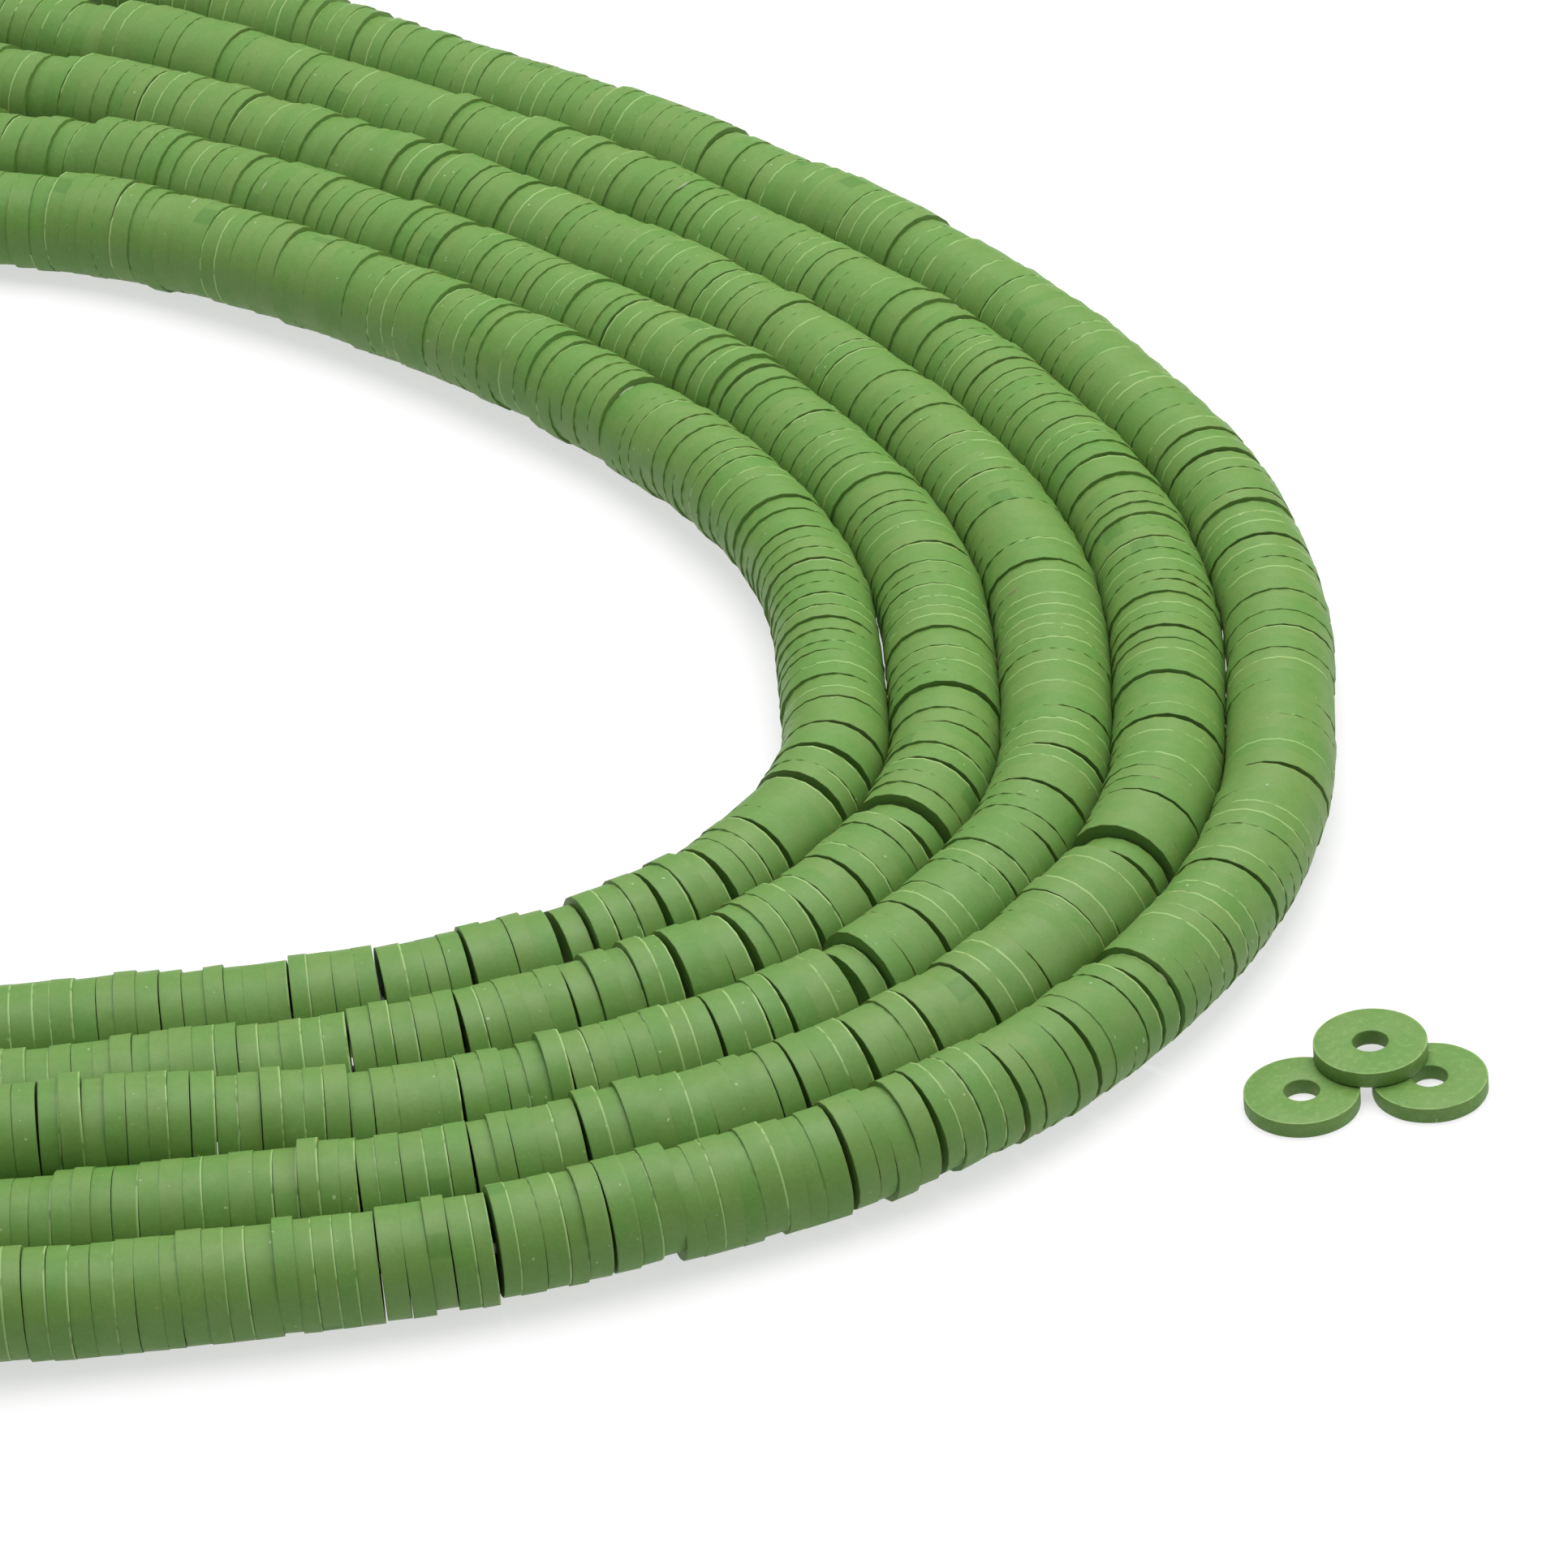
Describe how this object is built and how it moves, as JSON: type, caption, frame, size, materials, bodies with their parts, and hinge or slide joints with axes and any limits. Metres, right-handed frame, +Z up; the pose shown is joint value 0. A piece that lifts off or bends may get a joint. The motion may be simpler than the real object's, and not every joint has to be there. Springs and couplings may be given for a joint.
{
  "type": "strands of disc beads",
  "caption": "Strands of flat round green clay disc beads laid side by side in a U, with knotted cord ends, beside a few loose discs.",
  "frame": {"origin": "on the surface that the strands lie on, under the middle of the whole lay", "axes": "+Z up; +X towards the closed end of the U and the loose discs; +Y towards the far arm"},
  "size_m": [0.22, 0.2072, 0.0079],
  "materials": {
    "bead_clay": "matte, slightly waxy baked clay with pale cut rims",
    "stringing_cord": "waxed twisted polyester thread"
  },
  "bodies": {
    "inner_strand": {"inner_strand_back_arm_beads": "bead_clay", "inner_strand_back_bend_beads": "bead_clay", "inner_strand_cord": "stringing_cord", "inner_strand_front_arm_beads": "bead_clay", "inner_strand_front_bend_beads": "bead_clay", "inner_strand_turn_beads": "bead_clay"},
    "second_strand": {"second_strand_back_arm_beads": "bead_clay", "second_strand_back_bend_beads": "bead_clay", "second_strand_cord": "stringing_cord", "second_strand_front_arm_beads": "bead_clay", "second_strand_front_bend_beads": "bead_clay", "second_strand_turn_beads": "bead_clay"},
    "middle_strand": {"middle_strand_back_arm_beads": "bead_clay", "middle_strand_back_bend_beads": "bead_clay", "middle_strand_cord": "stringing_cord", "middle_strand_front_arm_beads": "bead_clay", "middle_strand_front_bend_beads": "bead_clay", "middle_strand_turn_beads": "bead_clay"},
    "fourth_strand": {"fourth_strand_back_arm_beads": "bead_clay", "fourth_strand_back_bend_beads": "bead_clay", "fourth_strand_cord": "stringing_cord", "fourth_strand_front_arm_beads": "bead_clay", "fourth_strand_front_bend_beads": "bead_clay", "fourth_strand_turn_beads": "bead_clay"},
    "outer_strand": {"outer_strand_back_arm_beads": "bead_clay", "outer_strand_back_bend_beads": "bead_clay", "outer_strand_cord": "stringing_cord", "outer_strand_front_arm_beads": "bead_clay", "outer_strand_front_bend_beads": "bead_clay", "outer_strand_turn_beads": "bead_clay"},
    "inner_strand_spinner_disc": {"inner_strand_spinner_disc": "bead_clay"},
    "inner_strand_front_end_beads": {"inner_strand_front_end_beads": "bead_clay"},
    "inner_strand_back_end_beads": {"inner_strand_back_end_beads": "bead_clay"},
    "second_strand_spinner_disc": {"second_strand_spinner_disc": "bead_clay"},
    "second_strand_front_end_beads": {"second_strand_front_end_beads": "bead_clay"},
    "second_strand_back_end_beads": {"second_strand_back_end_beads": "bead_clay"},
    "middle_strand_spinner_disc": {"middle_strand_spinner_disc": "bead_clay"},
    "middle_strand_front_end_beads": {"middle_strand_front_end_beads": "bead_clay"},
    "middle_strand_back_end_beads": {"middle_strand_back_end_beads": "bead_clay"},
    "fourth_strand_spinner_disc": {"fourth_strand_spinner_disc": "bead_clay"},
    "fourth_strand_front_end_beads": {"fourth_strand_front_end_beads": "bead_clay"},
    "fourth_strand_back_end_beads": {"fourth_strand_back_end_beads": "bead_clay"},
    "outer_strand_spinner_disc": {"outer_strand_spinner_disc": "bead_clay"},
    "outer_strand_front_end_beads": {"outer_strand_front_end_beads": "bead_clay"},
    "outer_strand_back_end_beads": {"outer_strand_back_end_beads": "bead_clay"},
    "loose_disc_left": {"loose_disc_left": "bead_clay"},
    "loose_disc_right": {"loose_disc_right": "bead_clay"},
    "loose_disc_top": {"loose_disc_top": "bead_clay"}
  },
  "joints": [
    {"name": "inner_strand_lift", "type": "slide", "parent": "outer_strand", "child": "inner_strand", "axis": [0, 0, 1], "range_m": [0, 0.03]},
    {"name": "second_strand_lift", "type": "slide", "parent": "outer_strand", "child": "second_strand", "axis": [0, 0, 1], "range_m": [0, 0.03]},
    {"name": "middle_strand_lift", "type": "slide", "parent": "outer_strand", "child": "middle_strand", "axis": [0, 0, 1], "range_m": [0, 0.03]},
    {"name": "fourth_strand_lift", "type": "slide", "parent": "outer_strand", "child": "fourth_strand", "axis": [0, 0, 1], "range_m": [0, 0.03]},
    {"name": "inner_strand_spinner_turn", "type": "hinge", "parent": "inner_strand", "child": "inner_strand_spinner_disc", "pos_m": [0.05996, -0.0708, 0.003], "axis": [0.9424, 0.3344, 0], "continuous": true},
    {"name": "inner_strand_front_end_slide", "type": "slide", "parent": "inner_strand", "child": "inner_strand_front_end_beads", "axis": [-0.9996, 0.0268, 0], "range_m": [0, 0.0045]},
    {"name": "inner_strand_back_end_slide", "type": "slide", "parent": "inner_strand", "child": "inner_strand_back_end_beads", "axis": [-0.9888, 0.1494, 0], "range_m": [0, 0.0045]},
    {"name": "second_strand_spinner_turn", "type": "hinge", "parent": "second_strand", "child": "second_strand_spinner_disc", "pos_m": [0.07885, -0.06326, 0.003], "axis": [0.5113, 0.8594, 0], "continuous": true},
    {"name": "second_strand_front_end_slide", "type": "slide", "parent": "second_strand", "child": "second_strand_front_end_beads", "axis": [-0.9998, 0.0204, 0], "range_m": [0, 0.0045]},
    {"name": "second_strand_back_end_slide", "type": "slide", "parent": "second_strand", "child": "second_strand_back_end_beads", "axis": [-0.9724, 0.2335, 0], "range_m": [0, 0.0045]},
    {"name": "middle_strand_spinner_turn", "type": "hinge", "parent": "middle_strand", "child": "middle_strand_spinner_disc", "pos_m": [0.07547, -0.07708, 0.003], "axis": [0.7902, 0.6128, 0], "continuous": true},
    {"name": "middle_strand_front_end_slide", "type": "slide", "parent": "middle_strand", "child": "middle_strand_front_end_beads", "axis": [-0.9997, 0.0124, -0.0213], "range_m": [0, 0.0045]},
    {"name": "middle_strand_back_end_slide", "type": "slide", "parent": "middle_strand", "child": "middle_strand_back_end_beads", "axis": [-0.9436, 0.331, 0], "range_m": [0, 0.0045]},
    {"name": "fourth_strand_spinner_turn", "type": "hinge", "parent": "fourth_strand", "child": "fourth_strand_spinner_disc", "pos_m": [0.09104, -0.06855, 0.003], "axis": [0.4706, 0.8824, 0], "continuous": true},
    {"name": "fourth_strand_front_end_slide", "type": "slide", "parent": "fourth_strand", "child": "fourth_strand_front_end_beads", "axis": [-1, 0.0019, 0], "range_m": [0, 0.0045]},
    {"name": "fourth_strand_back_end_slide", "type": "slide", "parent": "fourth_strand", "child": "fourth_strand_back_end_beads", "axis": [-0.8972, 0.4416, 0], "range_m": [0, 0.0045]},
    {"name": "outer_strand_spinner_turn", "type": "hinge", "parent": "outer_strand", "child": "outer_strand_spinner_disc", "pos_m": [0.09083, -0.08033, 0.003], "axis": [0.6321, 0.7748, 0], "continuous": true},
    {"name": "outer_strand_front_end_slide", "type": "slide", "parent": "outer_strand", "child": "outer_strand_front_end_beads", "axis": [-0.9999, -0.0121, 0], "range_m": [0, 0.0045]},
    {"name": "outer_strand_back_end_slide", "type": "slide", "parent": "outer_strand", "child": "outer_strand_back_end_beads", "axis": [-0.8274, 0.5616, 0], "range_m": [0, 0.0045]},
    {"name": "loose_disc_left_slide", "type": "slide", "parent": "outer_strand", "child": "loose_disc_left", "axis": [-0.3499, -0.9368, 0], "range_m": [0, 0.01]},
    {"name": "loose_disc_right_slide", "type": "slide", "parent": "outer_strand", "child": "loose_disc_right", "axis": [0.9397, -0.3419, 0], "range_m": [0, 0.01]},
    {"name": "loose_disc_top_lift", "type": "slide", "parent": "outer_strand", "child": "loose_disc_top", "axis": [0, 0, 1], "range_m": [0, 0.02]}
  ]
}
